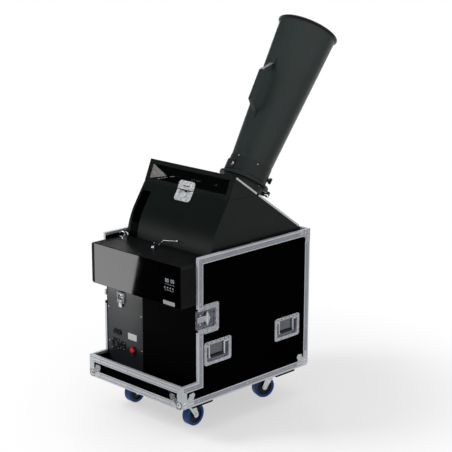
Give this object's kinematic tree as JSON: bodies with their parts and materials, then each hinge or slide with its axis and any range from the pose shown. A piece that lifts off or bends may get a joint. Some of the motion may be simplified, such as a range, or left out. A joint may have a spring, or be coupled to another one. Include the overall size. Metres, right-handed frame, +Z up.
{
  "type": "confetti_blower",
  "caption": "Confetti blower: a tilted swivelling barrel over a hinged hopper hood with mesh, a control box and a fan, all in a black wheeled flight case body with its cover off.",
  "frame": {"origin": "on the floor, under the middle of the bounding box", "axes": "+Z up, -Y is the control side, +X is the right side seen from the controls"},
  "size_m": [0.6078, 1.2285, 1.7112],
  "materials": {
    "laminate": "black laminate on plywood",
    "edging": "satin extrusion",
    "zinc": "bright zinc plate",
    "chrome": "polished",
    "tread": "blue polyurethane tread on a black hub",
    "housing": "satin black paint",
    "plate": "semi-gloss dark plate",
    "acrylic": "black acrylic, glossy",
    "window": "black, glossy",
    "display": "dark display window",
    "key": "pale key",
    "stop": "red",
    "socket": "moulded black",
    "hood_paint": "satin black",
    "mesh": "black mesh",
    "barrel_paint": "satin dark grey",
    "black_trim": "black",
    "funnel": "sheet steel",
    "roller": "steel",
    "motor": "cast and painted",
    "impeller": "plain",
    "board": "circuit board"
  },
  "bodies": {
    "base": {"case_floor": "laminate", "case_walls": "laminate", "case_edging": "edging", "ball_corners": "zinc", "castor_plates": "zinc", "side_dishes": "zinc", "cabinet": "housing", "connector_plate": "plate", "panel_sockets": "socket", "control_box": "housing", "control_panel": "acrylic", "display": "display", "hood_shell": "hood_paint", "fill_window": "window", "hood_latch_dish": "zinc", "deck_flange": "hood_paint", "hopper_funnel": "funnel", "feed_motor": "motor", "blast_duct": "funnel", "fan_scroll": "funnel", "fan_motor": "motor", "electronics": "board", "fasteners": "zinc"},
    "fork_fl": {"castor_fork_fl": "zinc"},
    "fork_fr": {"castor_fork_fr": "zinc"},
    "fork_bl": {"castor_fork_bl": "zinc"},
    "fork_br": {"castor_fork_br": "zinc"},
    "wheel_fl": {"castor_wheel_fl": "tread"},
    "wheel_fr": {"castor_wheel_fr": "tread"},
    "wheel_bl": {"castor_wheel_bl": "tread"},
    "wheel_br": {"castor_wheel_br": "tread"},
    "handle_lf": {"case_handle_lf": "chrome"},
    "handle_lb": {"case_handle_lb": "chrome"},
    "handle_rf": {"case_handle_rf": "chrome"},
    "handle_rb": {"case_handle_rb": "chrome"},
    "latch_left": {"case_latch_left": "chrome"},
    "latch_right": {"case_latch_right": "chrome"},
    "hood_latch": {"hood_latch_wing": "chrome"},
    "lid": {"lid_shell": "hood_paint", "lid_grille": "mesh", "lid_keeper": "zinc"},
    "barrel_assembly": {"swivel_collar": "barrel_paint", "collar_spigot": "barrel_paint", "barrel": "barrel_paint", "barrel_rim": "black_trim", "barrel_handle": "barrel_paint"},
    "knob_upper": {"collar_knob_upper": "black_trim"},
    "knob_lower": {"collar_knob_lower": "black_trim"},
    "index_pin": {"collar_pin": "chrome"},
    "key_1": {"button_1": "key"},
    "key_2": {"button_2": "key"},
    "key_3": {"button_3": "key"},
    "key_4": {"button_4": "key"},
    "stop": {"stop_button": "stop"},
    "lever": {"hood_lever": "chrome"},
    "ring": {"hood_ring": "chrome"},
    "draw_lever": {"draw_latch_lever": "zinc"},
    "draw_bail": {"draw_latch_bail": "zinc"},
    "impeller": {"fan_impeller": "impeller"},
    "roller": {"feed_roller": "roller"}
  },
  "joints": [
    {"name": "castor_swivel_fl", "type": "hinge", "parent": "base", "child": "fork_fl", "pos_m": [-0.19, -0.47427, 0.113], "axis": [0, 0, 1], "continuous": true},
    {"name": "castor_swivel_fr", "type": "hinge", "parent": "base", "child": "fork_fr", "pos_m": [0.19, -0.47427, 0.113], "axis": [0, 0, 1], "continuous": true},
    {"name": "castor_swivel_bl", "type": "hinge", "parent": "base", "child": "fork_bl", "pos_m": [-0.19, 0.05373, 0.113], "axis": [0, 0, 1], "continuous": true},
    {"name": "castor_swivel_br", "type": "hinge", "parent": "base", "child": "fork_br", "pos_m": [0.19, 0.05373, 0.113], "axis": [0, 0, 1], "continuous": true},
    {"name": "castor_roll_fl", "type": "hinge", "parent": "fork_fl", "child": "wheel_fl", "pos_m": [-0.19, -0.43827, 0.05], "axis": [1, 0, 0], "continuous": true},
    {"name": "castor_roll_fr", "type": "hinge", "parent": "fork_fr", "child": "wheel_fr", "pos_m": [0.19, -0.43827, 0.05], "axis": [1, 0, 0], "continuous": true},
    {"name": "castor_roll_bl", "type": "hinge", "parent": "fork_bl", "child": "wheel_bl", "pos_m": [-0.19, 0.01773, 0.05], "axis": [1, 0, 0], "continuous": true},
    {"name": "castor_roll_br", "type": "hinge", "parent": "fork_br", "child": "wheel_br", "pos_m": [0.17888, 0.01949, 0.05], "axis": [0.9511, -0.309, 0], "continuous": true},
    {"name": "case_handle_lf", "type": "hinge", "parent": "base", "child": "handle_lf", "pos_m": [-0.292, -0.39527, 0.389], "axis": [0, 1, 0], "range_deg": [0, 90], "stiffness_Nm_per_rad": 0.3, "springref_deg": -28.65},
    {"name": "case_handle_lb", "type": "hinge", "parent": "base", "child": "handle_lb", "pos_m": [-0.292, 0.04573, 0.389], "axis": [0, 1, 0], "range_deg": [0, 90], "stiffness_Nm_per_rad": 0.3, "springref_deg": -28.65},
    {"name": "case_handle_rf", "type": "hinge", "parent": "base", "child": "handle_rf", "pos_m": [0.292, -0.39527, 0.389], "axis": [0, -1, 0], "range_deg": [0, 90], "stiffness_Nm_per_rad": 0.3, "springref_deg": -28.65},
    {"name": "case_handle_rb", "type": "hinge", "parent": "base", "child": "handle_rb", "pos_m": [0.292, 0.04573, 0.389], "axis": [0, -1, 0], "range_deg": [0, 90], "stiffness_Nm_per_rad": 0.3, "springref_deg": -28.65},
    {"name": "case_latch_left", "type": "hinge", "parent": "base", "child": "latch_left", "pos_m": [-0.29, -0.45427, 0.516], "axis": [-1, 0, 0], "range_deg": [0, 180]},
    {"name": "case_latch_right", "type": "hinge", "parent": "base", "child": "latch_right", "pos_m": [0.29, -0.45427, 0.516], "axis": [1, 0, 0], "range_deg": [0, 180]},
    {"name": "hood_latch_turn", "type": "hinge", "parent": "base", "child": "hood_latch", "pos_m": [0, -0.30712, 0.9802], "axis": [0, -0.8402, 0.5423], "range_deg": [0, 180]},
    {"name": "lid_hinge", "type": "hinge", "parent": "base", "child": "lid", "pos_m": [0, -0.10337, 0.99234], "axis": [-1, 0, 0], "range_deg": [0, 75]},
    {"name": "barrel_swivel", "type": "hinge", "parent": "base", "child": "barrel_assembly", "pos_m": [0, 0.09162, 1.01581], "axis": [0, 0.5461, 0.8377], "continuous": true},
    {"name": "upper_knob_turn", "type": "hinge", "parent": "barrel_assembly", "child": "knob_upper", "pos_m": [0.07425, 0.15655, 0.97946], "axis": [0.7071, 0.5924, -0.3862], "continuous": true},
    {"name": "lower_knob_turn", "type": "hinge", "parent": "base", "child": "knob_lower", "pos_m": [0.06309, 0.13871, 0.92305], "axis": [0.5736, 0.6862, -0.4473], "continuous": true},
    {"name": "index_pin_pull", "type": "slide", "parent": "base", "child": "index_pin", "axis": [0.788, 0.5158, -0.3362], "range_m": [0, 0.004], "stiffness_N_per_m": 800, "springref_m": -0.002},
    {"name": "button_1_press", "type": "slide", "parent": "base", "child": "key_1", "axis": [0, 1, 0], "range_m": [0, 0.0008], "stiffness_N_per_m": 300, "springref_m": -0.0005},
    {"name": "button_2_press", "type": "slide", "parent": "base", "child": "key_2", "axis": [0, 1, 0], "range_m": [0, 0.0008], "stiffness_N_per_m": 300, "springref_m": -0.0005},
    {"name": "button_3_press", "type": "slide", "parent": "base", "child": "key_3", "axis": [0, 1, 0], "range_m": [0, 0.0008], "stiffness_N_per_m": 300, "springref_m": -0.0005},
    {"name": "button_4_press", "type": "slide", "parent": "base", "child": "key_4", "axis": [0, 1, 0], "range_m": [0, 0.0008], "stiffness_N_per_m": 300, "springref_m": -0.0005},
    {"name": "stop_press", "type": "slide", "parent": "base", "child": "stop", "axis": [0, 1, 0], "range_m": [0, 0.004]},
    {"name": "hood_lever_turn", "type": "hinge", "parent": "base", "child": "lever", "pos_m": [-0.028, -0.46727, 0.765], "axis": [0, 0, 1], "range_deg": [-90, 0]},
    {"name": "hood_ring_turn", "type": "hinge", "parent": "base", "child": "ring", "pos_m": [-0.238, -0.46027, 0.765], "axis": [0, 0, 1], "range_deg": [-60, 30]},
    {"name": "draw_lever_lift", "type": "hinge", "parent": "base", "child": "draw_lever", "pos_m": [-0.188, -0.51927, 0.503], "axis": [-1, 0, 0], "range_deg": [0, 150]},
    {"name": "draw_bail_swing", "type": "hinge", "parent": "draw_lever", "child": "draw_bail", "pos_m": [-0.188, -0.51927, 0.491], "axis": [-1, 0, 0], "range_deg": [-150, 0]},
    {"name": "fan_spin", "type": "hinge", "parent": "base", "child": "impeller", "pos_m": [0, -0.19468, 0.40266], "axis": [1, 0, 0], "continuous": true},
    {"name": "feed_spin", "type": "hinge", "parent": "base", "child": "roller", "pos_m": [0, -0.28827, 0.731], "axis": [1, 0, 0], "continuous": true}
  ],
  "couplings": [
    {"joint": "draw_bail_swing", "follows": "draw_lever_lift", "ratio": -1}
  ]
}
